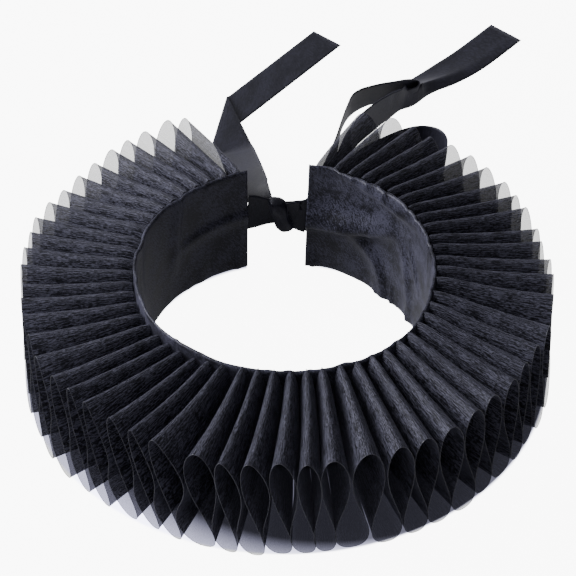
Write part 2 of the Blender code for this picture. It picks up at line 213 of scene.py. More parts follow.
LOOP_SIDE = (
    (1.9, 69.1, 24.5, 90, 7.0), (7.2, 72.6, 19.0, 90, 9.5), (13.3, 81.0, 13.0, 90, 13.0),
    (19.0, 94.5, 10.2, 90, 15.5), (24.0, 108.0, 9.2, 90, 16.0), (32.6, 119.0, 9.0, 94, 16.0),
    (46.0, 128.4, 8.9, 104, 16.0), (57.5, 134.2, 8.7, 110, 16.0), (66.0, 133.0, 8.7, 110, 16.0),
    (70.0, 125.5, 8.9, 98, 16.0), (67.6, 118.6, 8.9, 90, 16.0), (59.0, 118.4, 8.9, 90, 16.0),
    (46.5, 119.6, 8.9, 90, 16.0), (34.8, 114.4, 9.0, 90, 16.0), (25.2, 105.6, 9.2, 90, 16.0),
    (20.7, 93.6, 10.2, 90, 15.5), (14.9, 80.0, 13.0, 90, 13.0), (8.6, 71.4, 19.0, 90, 9.5),
    (3.4, 68.4, 24.5, 90, 7.0),
)
TAIL_RIGHT = (
    (0.1, 69.7, 24.5, 90, 7.0), (5.8, 73.8, 19.0, 90, 9.5), (11.8, 82.2, 13.0, 90, 13.0),
    (17.0, 96.0, 10.2, 90, 15.5), (21.3, 109.6, 9.2, 90, 16.0), (24.9, 123.4, 8.9, 90, 16.0),
    (27.8, 132.8, 8.8, 90, 16.0), (31.4, 141.4, 8.8, 90, 16.0), (36.4, 148.4, 8.8, 90, 16.0),
    (42.0, 155.4, 8.4, 90, 15.4), (47.6, 161.8, 7.7, 90, 13.8), (53.4, 168.8, 6.2, 97, 11.0),
    (57.8, 178.0, 2.2, 160, 11.0), (63.3, 184.7, 1.0, 178, 13.6), (73.1, 192.6, 0.8, 180, 16.6),
    (84.8, 203.4, 0.8, 180, 17.6), (101.6, 222.6, 0.8, 180, 17.6),
)
# the fold along a ribbon: share of its rows, how far it stands up, its place across. It is
# rounded on its near side and hollow on its far side.
FOLD_NEAR_POWER = 0.9
FOLD_FAR_POWER = 1.5
NO_FOLD = ((0.0, 0.0, 0.5), (1.0, 0.0, 0.5))
TAIL_RIGHT_FOLD = (
    (0.0, 0.0, 0.9), (0.63, 0.0, 0.9), (0.6875, 0.6, 0.8), (0.71, 2.4, 0.62), (0.73, 4.6, 0.46),
    (0.75, 6.2, 0.37), (0.78, 5.0, 0.31), (0.8125, 3.7, 0.28), (0.875, 2.0, 0.25),
    (0.94, 0.8, 0.24), (1.0, 0.1, 0.24),
)
TAIL_LEFT = (
    (-5.7, 68.3, 31.6, 90, 7.5), (-9.2, 75.0, 29.5, 60, 10.5), (-13.6, 86.0, 24.0, 28, 14.0),
    (-17.9, 108.0, 14.5, 15, 16.0), (-21.8, 132.0, 5.0, 7, 16.0),
)
FOLD_MIDDLE = (-29.2, 157.1)
FOLD_RADIUS = 0.8
FOLD_HEADING_DEG = 108.5
FOLD_ANGLE_DEG = 29.0
FOLD_APPROACH = 22.0
FOLD_APPROACH_STEPS = 10
FOLD_SQUARE_ON = 4.0
FOLD_CURVE_STEPS = 10
TAIL_FLAT_START = 8.0
TAIL_FLAT_END = 79.5
TAIL_FLAT_STEPS = 36

# The knot. It is a ball with a waist, made a little square, and its wraps are waves: how high each
# one stands, how much it turns along X and along Z, and where it begins. KNOT_CLOTH is the cloth
# that its map covers, in metres.
KNOT_CENTRE = (-2.3, 64.3, 28.3)
KNOT_HALF = (4.9, 3.9, 10.6)
KNOT_SLANT = 0.26
KNOT_WAIST = 0.16
KNOT_WAIST_REACH = 0.35
KNOT_SQUARE_FROM = 0.72
KNOT_SQUARE_SIZE = 0.86
KNOT_WRAPS = ((0.06, 5.3, 5.3 * 0.9, 0.0), (0.03, 11.0, -4.0, 1.0))
KNOT_CLOTH = (0.03, 0.02)

# The grain of the cloths: how often it comes in a metre along the cloth and across it
ORGANZA_STREAKS = (1800, 150, 1)
ORGANZA_DASHES = (3300, 640, 1)
SATIN_GRAIN = (1500, 420, 1)
SATIN_SPECKS = (1800, 1800, 1)
SATIN_CLOUDS = (90, 90, 1)

# Where the grain begins to take its painted sheen and where it is all painted sheen
ORGANZA_LIGHT = (0.21, 0.32)
SATIN_LIGHT = (0.09, 0.17)

# Tints of the gleam and of the soft shine on both cloths
GLEAM_TINT = "#dedef0"
SHINE_TINT = "#b9b9d4"

# The camera stands where the photograph was taken from
CAMERA_ELEVATION_DEG = 42.5
CAMERA_DISTANCE = 1670.0
CAMERA_AIM = (0.83, 8.17, 36.92)
CAMERA_LENS = 250.5
CAMERA_SENSOR = 36.0
CAMERA_CLIP = (0.05, 20.0)

# Each light: its name, its place, its size in metres and its watts
LIGHTS = (("key", (-960, 60, 740), 0.8, 31), ("fill", (-500, 900, 900), 0.8, 2.0))
LIGHT_AIM = (0, 0, 28)
WORLD_STRENGTH = 0.34

# The paper glows, though no lamp is in it, and its glow lights the cloth from below: what it sends
# to the camera and to the cloth. Under the ruff its glow is cut low, to a painted shadow, with a
# painted tint of light through the cloth. Each edge of the painted shadow, inner and outer, has a
# middle and begins and ends at a distance from it. The outer edge lies a little to the right
# because the key is on the left. The tint ends with the ruff, and at the gap behind.
FLOOR_HALF = 4.0
FLOOR_GLOW = 9.0
FLOOR_GLOW_ON_CLOTH = 0.5
FLOOR_PAINTED_SHADE = (((0.0, 1.5, 0.0), 61.0, 63.5), ((17.0, -9.0, 0.0), 91.0, 113.5))
FLOOR_PAINTED_SHADE_LEAST = 0.5
FLOOR_TINT_END = ((0.0, 0.0, 0.0), 108.6, 110.4)
BACK_GAP_MIDDLE = -3.8
BACK_GAP_HALF = 13.2


def linear(code):
    """An sRGB hex colour as linear red, green, blue and alpha."""
    values = [int(code[i : i + 2], 16) / 255 for i in (1, 3, 5)]
    return (*[v / 12.92 if v <= 0.04045 else ((v + 0.055) / 1.055) ** 2.4 for v in values], 1.0)


def in_frame(points):
    """Points in millimetres from the ring's centre, as metres in the frame."""
    return (np.asarray(points, float) + RING_CENTRE) * MM


def node(tree, kind, settings=(), inputs=()):
    """Adds a node with its settings, and sets or links its inputs."""
    made = tree.nodes.new(kind)
    for key, value in dict(settings).items():
        setattr(made, key, value)
    for key, value in dict(inputs).items():
        if isinstance(value, bpy.types.NodeSocket):
            tree.links.new(value, made.inputs[key])
        else:
            made.inputs[key].default_value = value
    return made


def new_material(name):
    """An empty node material and its tree."""
    made = bpy.data.materials.get(name) or bpy.data.materials.new(name)
    made.use_nodes = True
    made.node_tree.nodes.clear()
    return made, made.node_tree


def shade(tree, inputs):
    """Adds the Principled shader that gives the material its surface."""
    shader = node(tree, "ShaderNodeBsdfPrincipled", inputs=inputs)
    node(tree, "ShaderNodeOutputMaterial", inputs={"Surface": shader.outputs[0]})


def maths(tree, operation, *values):
    """One step of arithmetic on numbers and sockets."""
    return node(tree, "ShaderNodeMath", {"operation": operation}, enumerate(values)).outputs[0]


def cloth_place(tree):
    """Each point's place on the flat cloth, in metres."""
    return node(tree, "ShaderNodeUVMap", {"uv_map": "cloth"}).outputs[0]


def noise(tree, place, scale, detail):
    """Noise over a place, drawn out by a scale of its own along each direction."""
    drawn = node(tree, "ShaderNodeMapping", inputs={"Vector": place, "Scale": scale})
    inputs = {"Vector": drawn.outputs[0], "Scale": 1.0, "Detail": detail, "Roughness": 0.55}
    return node(tree, "ShaderNodeTexNoise", inputs=inputs).outputs[0]


def speckle(tree, place, scale):
    """Noise that is the same along each direction."""
    inputs = {"Vector": place, "Scale": scale, "Detail": 2.0}
    return node(tree, "ShaderNodeTexNoise", inputs=inputs).outputs[0]


def mixed(tree, share, dark, light):
    """A colour between dark and light."""
    inputs = {0: share, 6: tuple(dark), 7: tuple(light)}
    return node(tree, "ShaderNodeMix", {"data_type": "RGBA"}, inputs).outputs[2]


def blend(tree, value, low, high, dark, light):
    """A colour between dark and light, as a value goes from low to high."""
    inputs = {"Value": value, "From Min": low, "From Max": high}
    return mixed(tree, node(tree, "ShaderNodeMapRange", inputs=inputs).outputs[0], dark, light)


def relief(tree, value, strength, distance):
    """Fine relief in the surface, from a value that stands for its height."""
    inputs = {"Height": value, "Strength": strength, "Distance": distance}
    return node(tree, "ShaderNodeBump", inputs=inputs).outputs[0]


def organza_material():
    """Organza: a plain, open weave of fine stiff filament, sheer in one layer and black in many.

    The filaments are bright, so the cloth has a dry grey gleam along them. The streaks and short
    dashes that follow the pleats are partly the weave's grain and partly painted sheen, a paler
    base colour. The threads are 0.15 mm apart; the dashes that they make together are drawn 0.3 mm
    wide and the streaks 0.6 mm wide.
    """
    sizes = bpy.context.scene.ruff_collar_sizes
    colours = bpy.context.scene.ruff_collar_colours
    made, tree = new_material("organza_black")
    cloth = cloth_place(tree)
    streaks = noise(tree, cloth, ORGANZA_STREAKS, 2.0)
    dashes = noise(tree, cloth, ORGANZA_DASHES, 2.0)
    threads = maths(tree, "MULTIPLY", streaks, dashes)
    dark, light = colours.organza_dark, colours.organza_grain_and_sheen
    inputs = {
        # base colour: the grain, with painted sheen along its streaks and dashes
        "Base Color": blend(tree, threads, *ORGANZA_LIGHT, dark, light),
        "Normal": relief(tree, threads, strength=0.6, distance=0.0005),
        "Roughness": 0.46,
        "Specular IOR Level": 0.16,
        "Specular Tint": linear(GLEAM_TINT),
        "Sheen Weight": 0.16,
        "Sheen Roughness": 0.35,
        "Sheen Tint": linear(SHINE_TINT),
        "Alpha": sizes.organza_cover,
    }
    shade(tree, inputs)
    return made


def thread_material():
    """Bright filament thread in the rolled edge of the strip, a little paler than the cloth."""
    colours = bpy.context.scene.ruff_collar_colours
    made, tree = new_material("organza_edge_thread")
    grain = speckle(tree, node(tree, "ShaderNodeTexCoord").outputs["Object"], 900.0)
    # the paler specks at random are painted glints on the thread
    colour = mixed(tree, grain, colours.edge_dark, colours.edge_glint)
    shade(tree, {"Base Color": colour, "Roughness": 0.3, "Alpha": 0.85})
    return made


def satin_material(name, dark, light, roughness, grain_turn):
    """Polyester satin: long floats that lie one way, so it gleams softly and keeps a fine grain.

    The floats are 0.2 mm apart. The grain is drawn 0.7 mm wide so that it shows, with specks of
    0.6 mm where floats catch the light and broad clouds: there the base colour is paler, as painted
    glints and sheen.
    """
    made, tree = new_material(name)
    cloth = cloth_place(tree)
    turn = {"Vector": cloth, "Rotation": (0, 0, math.radians(grain_turn))}
    turned = node(tree, "ShaderNodeMapping", inputs=turn).outputs[0]
    grain = noise(tree, turned, SATIN_GRAIN, 2.0)
    specks = noise(tree, cloth, SATIN_SPECKS, 1.0)
    clouds = noise(tree, cloth, SATIN_CLOUDS, 3.0)
    floats = maths(tree, "MULTIPLY", grain, specks)
    patches = maths(tree, "MULTIPLY", floats, clouds)
    limits = {
        "Value": clouds,
        "From Min": 0.3,
        "From Max": 0.7,
        "To Min": roughness - 0.05,
        "To Max": roughness + 0.07,
    }
    inputs = {
        # base colour: painted glints and sheen, paler in the specks and clouds of the grain
        "Base Color": blend(tree, patches, *SATIN_LIGHT, dark, light),
        "Normal": relief(tree, floats, strength=0.5, distance=0.0003),
        "Roughness": node(tree, "ShaderNodeMapRange", inputs=limits).outputs[0],
        "Specular IOR Level": 0.36,
        "Specular Tint": linear(GLEAM_TINT),
        "Sheen Weight": 0.15,
        "Sheen Tint": linear(SHINE_TINT),
    }
    shade(tree, inputs)
    return made


def band_satin():
    """The neck band's satin, with its grain on the slant."""
    colours = bpy.context.scene.ruff_collar_colours
    dark, light = colours.band_dark, colours.band_grain_and_glints
    return satin_material("band_satin_black", dark, light, roughness=0.4, grain_turn=38)


def ribbon_satin():
    """The ribbons' satin, with its grain straight on the ribbon."""
    colours = bpy.context.scene.ruff_collar_colours
    dark, light = colours.ribbon_dark, colours.ribbon_grain_and_glints
    return satin_material("ribbon_satin_black", dark, light, roughness=0.38, grain_turn=0)


def beyond(tree, place, centre, near, far):
    """From 0 to 1, as a place on the floor goes from near to far from a centre."""
    spots = {0: place, 1: tuple(v * MM for v in centre)}
    away = node(tree, "ShaderNodeVectorMath", {"operation": "DISTANCE"}, spots).outputs["Value"]
    limits = {"Value": away, "From Min": near * MM, "From Max": far * MM}
    soft = {"interpolation_type": "SMOOTHSTEP"}
    return node(tree, "ShaderNodeMapRange", soft, limits).outputs[0]


def paper_glow_and_painted_shade(tree, place):
    """The paper's glow and tint from the ring's centre, with a painted shadow under the ruff."""
    inner, outer = (beyond(tree, place, *edge) for edge in FLOOR_PAINTED_SHADE)
    x, y, _ = node(tree, "ShaderNodeSeparateXYZ", inputs={0: place}).outputs
    beside = maths(tree, "COMPARE", x, BACK_GAP_MIDDLE * MM, BACK_GAP_HALF * MM)
    gap = maths(tree, "MULTIPLY", beside, maths(tree, "GREATER_THAN", y, 0.0))
    # clear is where the paper lies outside the painted shadow under the ruff
    clear = maths(tree, "MAXIMUM", maths(tree, "SUBTRACT", 1.0, inner), gap)
    clear = maths(tree, "MAXIMUM", clear, beyond(tree, place, *FLOOR_TINT_END))
    lit = maths(tree, "MAXIMUM", clear, outer)
    seen = node(tree, "ShaderNodeLightPath").outputs["Is Camera Ray"]
    to_camera = maths(tree, "MULTIPLY", maths(tree, "MULTIPLY", lit, seen), FLOOR_GLOW)
    # the glow that lights the cloth is cut under the ruff too: painted shadow
    on_cloth = maths(tree, "MAXIMUM", outer, FLOOR_PAINTED_SHADE_LEAST)
    to_cloth = maths(tree, "MULTIPLY", on_cloth, FLOOR_GLOW_ON_CLOTH)
    # painted tint of light through the cloth, on the paper under the ruff
    tint = mixed(tree, clear, linear("#d0d0f0"), linear("#ffffff"))
    return maths(tree, "MAXIMUM", to_camera, to_cloth), tint


def paper_material():
    """Smooth pale glowing paper: a clean white ground, with a painted shadow under the ruff."""
    made, tree = new_material("floor_paper")
    place = node(tree, "ShaderNodeTexCoord").outputs["Object"]
    shift = {"Vector": place, "Location": tuple(-v for v in in_frame((0, 0, 0)))}
    from_ring = node(tree, "ShaderNodeMapping", inputs=shift).outputs[0]
    strength, tint = paper_glow_and_painted_shade(tree, from_ring)
    grain = speckle(tree, place, 40.0)
    inputs = {
        "Base Color": mixed(tree, grain, linear("#8a8a8e"), linear("#929296")),
        "Roughness": 0.9,
        "Emission Color": tint,
        "Emission Strength": strength,
    }
    shade(tree, inputs)
    return made


def grid_piece(name, along, across, shape, flat, surface, wall=0.0):
    """A sheet from a flat grid: shape gives each point, and flat is its cut size in metres.

    The map "cloth" keeps each point's place on the flat cloth in metres.
    """
    bm = bmesh.new()
    bm.loops.layers.uv.new("cloth")
    bmesh.ops.create_grid(bm, x_segments=along, y_segments=across, size=0.5, calc_uvs=True)
    layer = bm.loops.layers.uv.active
    verts = list(bm.verts)
    flat_place = np.array([v.co for v in verts]) + 0.5
    for face in bm.faces:
        for loop in face.loops:
            x, y, _ = loop.vert.co
            loop[layer].uv = ((x + 0.5) * flat[0], (y + 0.5) * flat[1])
    places = in_frame(shape(flat_place[:, 0], flat_place[:, 1]))
    for vert, place in zip(verts, places):
        vert.co = place
    bm.normal_update()
    if wall:
        bmesh.ops.solidify(bm, geom=bm.faces[:], thickness=wall * MM)
        bmesh.ops.recalc_face_normals(bm, faces=bm.faces[:])
    return finished(name, bm, surface)


def finished(name, bm, surface, smooth=True):
    """The mesh as a piece with its material, in the scene."""
    mesh = bpy.data.meshes.new(name)
    bm.to_mesh(mesh)
    bm.free()
    mesh.materials.append(surface)
    made = bpy.data.objects.new(name, mesh)
    bpy.context.scene.collection.objects.link(made)
    if smooth:
        mesh.polygons.foreach_set("use_smooth", [True] * len(mesh.polygons))
    return made


def tube(name, points, radius, surface):
    """A thread or rolled edge through points in millimetres from the ring's centre."""
    curve = bpy.data.curves.new(name, "CURVE")
    curve.dimensions = "3D"
    curve.bevel_depth = radius * MM
    curve.bevel_resolution = 1
    curve.use_fill_caps = True
    spline = curve.splines.new("POLY")
    spline.points.add(len(points) - 1)
    flat = np.hstack([in_frame(points), np.ones((len(points), 1))])
    spline.points.foreach_set("co", flat.ravel())
    curve.materials.append(surface)
    made = bpy.data.objects.new(name, curve)
    bpy.context.scene.collection.objects.link(made)
    return made


def place(angle_deg, radius, height):
    """Points at angles from the front, distances from the neck's axis and heights."""
    angle = np.radians(angle_deg)
    return np.stack([radius * np.sin(angle), -radius * np.cos(angle), height + 0 * angle], axis=1)


def softly(value):
    """From 0 to 1 with soft ends."""
    value = np.clip(value, 0, 1)
    return value * value * (3 - 2 * value)


def read_rows(rows, at, column):
    """A column of a table, read smoothly at any value of its first column."""
    dense = smooth_rows(rows, TABLE_STEPS)
    return np.interp(at, dense[:, 0], dense[:, column])


def band_radius(angle, height):
    """Radius of the band's inside without its creases."""
    rim, foot, tall = (read_rows(BAND_FORM, angle, column) for column in (1, 2, 3))
    return foot + (rim - foot) * height / tall


def one_crease(angle, height, left_reach, right_reach, line):
    """How far a crease stands in: a ridge along its line, with its own flank on either side."""
    x = angle * MM_PER_DEGREE
    nearest = np.full(x.shape, 1e9)
    stands_in = np.zeros(x.shape)
    for (a0, z0, d0), (a1, z1, d1) in zip(line, line[1:]):
        along_x, along_z = (a1 - a0) * MM_PER_DEGREE, z1 - z0
        share = (x - a0 * MM_PER_DEGREE) * along_x + (height - z0) * along_z
        share = np.clip(share / (along_x**2 + along_z**2), 0, 1)
        off_x = x - a0 * MM_PER_DEGREE - share * along_x
        off_z = height - z0 - share * along_z
        distance = np.hypot(off_x, off_z)
        reach = np.where(along_x * off_z - along_z * off_x > 0, left_reach, right_reach)
        here = (d0 + (d1 - d0) * share) * np.exp(-((distance / reach) ** 2))
        stands_in = np.where(distance < nearest, here, stands_in)
        nearest = np.minimum(nearest, distance)
    return stands_in


def crease_depth(angle, height, tall):
    """How far the band's inside stands in towards the neck, in millimetres."""
    total = sum(one_crease(angle, height, *crease) for crease in CREASES)
    down = tall - height
    for at in RIM_PUCKERS_DEG:
        across = (angle - at - RIM_PUCKER_SLANT * down) / RIM_PUCKER_HALF_DEG
        total = total + RIM_PUCKER_DEPTH * np.exp(-(across**2) - (down / RIM_PUCKER_REACH) ** 2)
    rng = np.random.default_rng(SEED + 1)
    for edge_distance in (height, down):
        for _ in range(PUCKERS):
            at, wide, long, depth, slant = (rng.uniform(*limits) for limits in PUCKER_LIMITS)
            across = (angle - at - slant * edge_distance) / wide
            total = total + depth * np.exp(-(across**2) - (edge_distance / long) ** 2)
    waves = sum(np.sin(a * angle + b * height + start) for a, b, start in SLOW_WAVES)
    return total + SLOW_WAVE_DEPTH * waves


def band_shape(along, round_share):
    """The neck band as one closed sleeve: up its inside, over its top edge and down its outside."""
    angle = BAND_LEFT_END_DEG + (BAND_RIGHT_END_DEG - BAND_LEFT_END_DEG) * along
    tall = read_rows(BAND_FORM, angle, 3)
    half = BAND_WALL / 2
    straight = tall - BAND_WALL
    curve = math.pi * half
    path = round_share * (2 * straight + 2 * curve)
    inside = np.clip(path, 0, straight)
    over = np.clip(path - straight, 0, curve) / curve
    outside = np.clip(path - straight - curve, 0, straight)
    under = np.clip(path - 2 * straight - curve, 0, curve) / curve
    height = half + inside - outside
    height = height + half * (np.sin(math.pi * over) - np.sin(math.pi * under))
    through = half * (1 - np.cos(math.pi * over)) - half * (1 - np.cos(math.pi * under))
    foot_reach = (BAND_RIGHT_FOOT_DEG - BAND_RIGHT_END_DEG) * (1 - height / tall)
    to_the_end = (angle - BAND_FOOT_FROM_DEG) / (BAND_RIGHT_END_DEG - BAND_FOOT_FROM_DEG)
    angle = angle + foot_reach * softly(to_the_end)
    depth = crease_depth(angle, height, tall)
    depth = np.where(depth < 0, depth * (1 - through / BAND_WALL), depth)
    return place(angle, band_radius(angle, height) + through - depth, height)


def pleat_columns(pleat):
    """The angle and the lean of the pleats at the outer edge, at any place along the strip."""
    table = np.array(PLEAT_TOPS)
    before, after = 2 * table[0] - table[1], 2 * table[-1] - table[-2]
    table = np.vstack([before, table, after])
    numbers = np.arange(-1, PLEATS + 1)
    return np.interp(pleat, numbers, table[:, 0]), np.interp(pleat, numbers, table[:, 1])


def each_pleat(pleat, rng, low, high):
    """A value for each pleat, drawn once, and read smoothly between pleats."""
    values = rng.uniform(low, high, PLEATS + 2)
    return np.interp(pleat, np.arange(-1, PLEATS + 1), values)


def each_flank(pleat, rng, low, high):
    """A value for each flank between a pleat's top and the next bottom, drawn once."""
    values = rng.uniform(low, high, 2 * PLEATS + 4)
    return values[np.floor(2 * pleat).astype(int) + 2]


def pleat_level(turn, lean, out):
    """How high a point is between a pleat's bottom, 0, and its top, 1."""
    level = (1 + np.cos(turn)) / 2
    skew_lean = np.clip(-lean - APEX_SKEW_FROM_LEAN, 0, APEX_SKEW_LEAN_RANGE)
    skew = APEX_SKEW * skew_lean * out
    level = (level - skew * np.sin(2 * turn) + 4 * skew**2) / (1 + 8 * skew**2)
    return np.clip(level, 0, 1) ** LEVEL_POWER


def pleat_dents(pleat, level, out, rng):
    """How far the flanks are pressed to one side, in millimetres."""
    flank = 4 * level * (1 - level)
    dent = each_flank(pleat, rng, -1, 1) * DENT_DEPTH * flank
    dent_place = each_flank(pleat, rng, *DENT_PLACES)
    dent_reach = each_flank(pleat, rng, *DENT_REACHES)
    return dent * np.exp(-(((out - dent_place) / dent_reach) ** 2))


def frill_height(pleat, angle, level, out):
    """Height over the surface. The tops are uneven, and meet the band at a height of its own."""
    fast, slow = TIP_RIPPLE_RATES
    ripple = TIP_HEIGHT_RIPPLE * (np.sin(fast * pleat) + np.sin(slow * pleat + 1) - 2)
    shoulder = NECK_SHOULDER * np.exp(-((out * FRILL_DEPTH / NECK_SHOULDER_REACH) ** 2))
    neck_top = read_rows(NECK_TOPS, angle, 1)
    tall = bpy.context.scene.ruff_collar_sizes.ruff_height / MM + ripple * out
    tall = tall + (neck_top - tall) * (1 - out) ** NECK_RISE_POWER
    return FRILL_LIFT + (tall - 2 * FRILL_LIFT) * level + shoulder * (0.5 - level) * 2


def frill_radius(pleat, angle, height, out):
    """Distance from the neck's axis, from the band's outside or its rim to an uneven edge."""
    slow, fast = RADIUS_RIPPLE_RATES
    edge = bpy.context.scene.ruff_collar_sizes.ruff_radius / MM
    edge = edge + RADIUS_RIPPLE * (np.sin(slow * pleat) + np.sin(fast * pleat) / 2)
    over = softly((height - read_rows(BAND_FORM, angle, 3) + RIM_BEND_BELOW) / RIM_BEND_REACH)
    start = band_radius(angle, height)
    start = start + (BAND_WALL + NECK_GAP) * (1 - over) + RIM_BEND_INSET * over
    return start + (edge - start) * out


def frill_shape(along, out):
    """The pleated strip: out is 0 at the neck and 1 at the outer edge."""
    rng = np.random.default_rng(SEED)
    pleat = along * PLEATS - 0.5
    outer_top, outer_lean = pleat_columns(pleat)
    first, last = PLEAT_TOPS[0][0], PLEAT_TOPS[-1][0]
    even_outer = first + (last - first) * pleat / (PLEATS - 1)
    inner_top = INNER_FIRST_DEG + (INNER_LAST_DEG - INNER_FIRST_DEG) * pleat / (PLEATS - 1)
    inner_top = inner_top + INNER_UNEVENNESS * (outer_top - even_outer)
    wide = pleat_columns(pleat + SLOPE_REACH)[0] - pleat_columns(pleat - SLOPE_REACH)[0]
    pitch_outer = wide / (2 * SLOPE_REACH)
    pitch_inner = (INNER_LAST_DEG - INNER_FIRST_DEG) / (PLEATS - 1)
    top = inner_top + (outer_top - inner_top) * out
    lean = outer_lean * (INNER_LEAN + (1 - INNER_LEAN) * out)
    pitch = pitch_inner + (pitch_outer - pitch_inner) * out
    fullness = FULLNESS_INNER + (FULLNESS_OUTER - FULLNESS_INNER) * out
    fullness = fullness * (1 + each_pleat(pleat, rng, *FULLNESS_LIMITS) * out)
    turn = 2 * math.pi * pleat
    swing = np.sin(2 * turn) + TIP_POINT * out * np.sin(4 * turn)
    angle = top + fullness * pitch * swing - lean * (1 - (1 + np.cos(turn)) / 2)
    level = pleat_level(turn, lean, out)
    height = frill_height(pleat, angle, level, out)
    radius = frill_radius(pleat, angle, height, out)
    angle = angle + np.degrees(pleat_dents(pleat, level, out, rng) / radius)
    return place(angle, radius, height)


def length_of(points):
    """The length of a line through points."""
    return np.linalg.norm(np.diff(points, axis=0), axis=1).sum()


def smooth_rows(rows, steps):
    """Rows between the given ones, on a curve that passes through all of them."""
    table = np.array(rows, float)
    padded = np.vstack([2 * table[0] - table[1], table, 2 * table[-1] - table[-2]])
    made = []
    for i in range(1, len(table)):
        a, b, c, d = padded[i - 1 : i + 3]
        for k in range(steps):
            t = k / steps
            bend = (2 * a - 5 * b + 4 * c - d) * t * t + (3 * b - a - 3 * c + d) * t**3
            made.append(0.5 * (2 * b + (c - a) * t + bend))
    made.append(table[-1])
    return np.array(made)


def ribbon_edges(rows):
    """The two edges of a ribbon along its rows, as pairs of points."""
    made = smooth_rows(rows, STEPS_PER_SPAN)
    middles = [Vector(row[:3]) for row in made]
    pairs = []
    for i, row in enumerate(made):
        ahead = middles[min(i + 1, len(middles) - 1)] - middles[max(i - 1, 0)]
        ahead.normalize()
        side = ahead.cross(Vector((0, 0, 1))).normalized()
        up = side.cross(ahead)
        tilt = math.radians(row[3])
        across = (side * math.cos(tilt) + up * math.sin(tilt)) * (row[4] / 2)
        pairs.append((middles[i] - across, middles[i] + across))
    return pairs


def folded_end():
    """Edges of the left tail from its approach to the fold to its cut end on the surface."""
    heading = math.radians(FOLD_HEADING_DEG)
    ahead = Vector((math.cos(heading), math.sin(heading), 0))
    right = Vector((math.sin(heading), -math.cos(heading), 0))
    turn = math.radians(FOLD_ANGLE_DEG)
    fold_line = ahead * math.cos(turn) + right * math.sin(turn)
    outwards = ahead * math.sin(turn) - right * math.cos(turn)
    half = RIBBON_WIDTH / 2
    lead = half / math.tan(turn)
    steps = FOLD_APPROACH_STEPS
    approach = FOLD_APPROACH - FOLD_SQUARE_ON
    rows = [(approach * step / steps - FOLD_APPROACH, step / steps) for step in range(1, steps + 1)]
    curve = math.pi * FOLD_RADIUS / math.sin(turn)
    steps = FOLD_CURVE_STEPS
    rows += [(curve * step / steps, 1.0) for step in range(steps + 1)]
    flat_length = TAIL_FLAT_END - TAIL_FLAT_START
    steps = TAIL_FLAT_STEPS
    rows += [(TAIL_FLAT_START + flat_length * k / steps, 1 - k / steps) for k in range(steps + 1)]
    middle = Vector((*FOLD_MIDDLE, 0))
    pairs = []
    for forward, slant in rows:
        points = []
        for across in (-half, half):
            u = forward + across / half * lead * slant
            distance = u * math.sin(turn) - across * math.cos(turn)
            along = u * math.cos(turn) + across * math.sin(turn)
            bend = min(max(distance / FOLD_RADIUS, 0.0), math.pi)
            flat = min(distance, 0.0) - max(distance - math.pi * FOLD_RADIUS, 0.0)
            reach = flat + FOLD_RADIUS * math.sin(bend)
            height = FLOOR_GAP + FOLD_RADIUS * (1 + math.cos(bend))
            points.append(middle + fold_line * along + outwards * reach + Vector((0, 0, height)))
        pairs.append(tuple(points))
    return pairs


def between_rows(row, table):
    """Points of a table, read at any place between its rows."""
    numbers = np.arange(len(table))
    return np.stack([np.interp(row, numbers, column) for column in table.T], axis=1)


def ribbon_piece(name, pairs, cup, fold, surface):
    """A ribbon between its edges, a little hollow across, and its cut length in metres."""
    sizes = bpy.context.scene.ruff_collar_sizes
    left = np.array([pair[0] for pair in pairs])
    right = np.array([pair[1] for pair in pairs])
    middle = (left + right) / 2
    length = length_of(middle)
    count = len(pairs) - 1

    def shape(along, across):
        row = along * count
        start, end = between_rows(row, left), between_rows(row, right)
        ahead = between_rows(row, np.gradient(middle, axis=0))
        normal = np.cross(end - start, ahead)
        normal /= np.maximum(np.linalg.norm(normal, axis=1, keepdims=True), 1e-9)
        hollow = cup * (1 - (2 * across - 1) ** 2)
        shares, heights, places = zip(*fold)
        fold_height = np.interp(along, shares, heights)
        fold_place = np.interp(along, shares, places)
        near = np.clip(across / fold_place, 0, 1) ** FOLD_NEAR_POWER
        far = np.clip((1 - across) / (1 - fold_place), 0, 1) ** FOLD_FAR_POWER
        hollow = hollow - fold_height * np.minimum(near, far)
        points = start + (end - start) * across[:, None]
        return points + normal * hollow[:, None]

    flat = (length * MM, RIBBON_WIDTH * MM)
    wall = sizes.ribbon_thickness / MM
    return grid_piece(name, count, RIBBON_ACROSS_STEPS, shape, flat, surface, wall), length * MM


def belongs(piece, *nodes, slot):
    """The piece rides on the body and stands for the nodes. The slot is not used."""
    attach(piece, "root")
    if nodes:
        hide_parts(*nodes)
    return piece


def add_light(name, spot, size, watts):
    """A soft square light, turned towards the collar."""
    light = bpy.data.lights.new(name, "AREA")
    light.energy = watts
    light.size = size
    lamp = bpy.data.objects.new(name, light)
    lamp.location = Vector(in_frame(spot))
    aim = Vector(in_frame(LIGHT_AIM)) - lamp.location
    lamp.rotation_euler = aim.to_track_quat("-Z", "Y").to_euler()
    bpy.context.scene.collection.objects.link(lamp)


def add_camera():
    """The camera, where the photograph was taken from."""
    lens = bpy.data.cameras.new("camera")
    lens.lens = CAMERA_LENS
    lens.sensor_width = CAMERA_SENSOR
    lens.clip_start, lens.clip_end = CAMERA_CLIP
    camera = bpy.data.objects.new("camera", lens)
    tilt = math.radians(CAMERA_ELEVATION_DEG)
    back = Vector((0, -math.cos(tilt), math.sin(tilt)))
    camera.location = Vector(in_frame(Vector(CAMERA_AIM) + back * CAMERA_DISTANCE))
    camera.rotation_euler = (-back).to_track_quat("-Z", "Y").to_euler()
    bpy.context.scene.collection.objects.link(camera)
    return camera


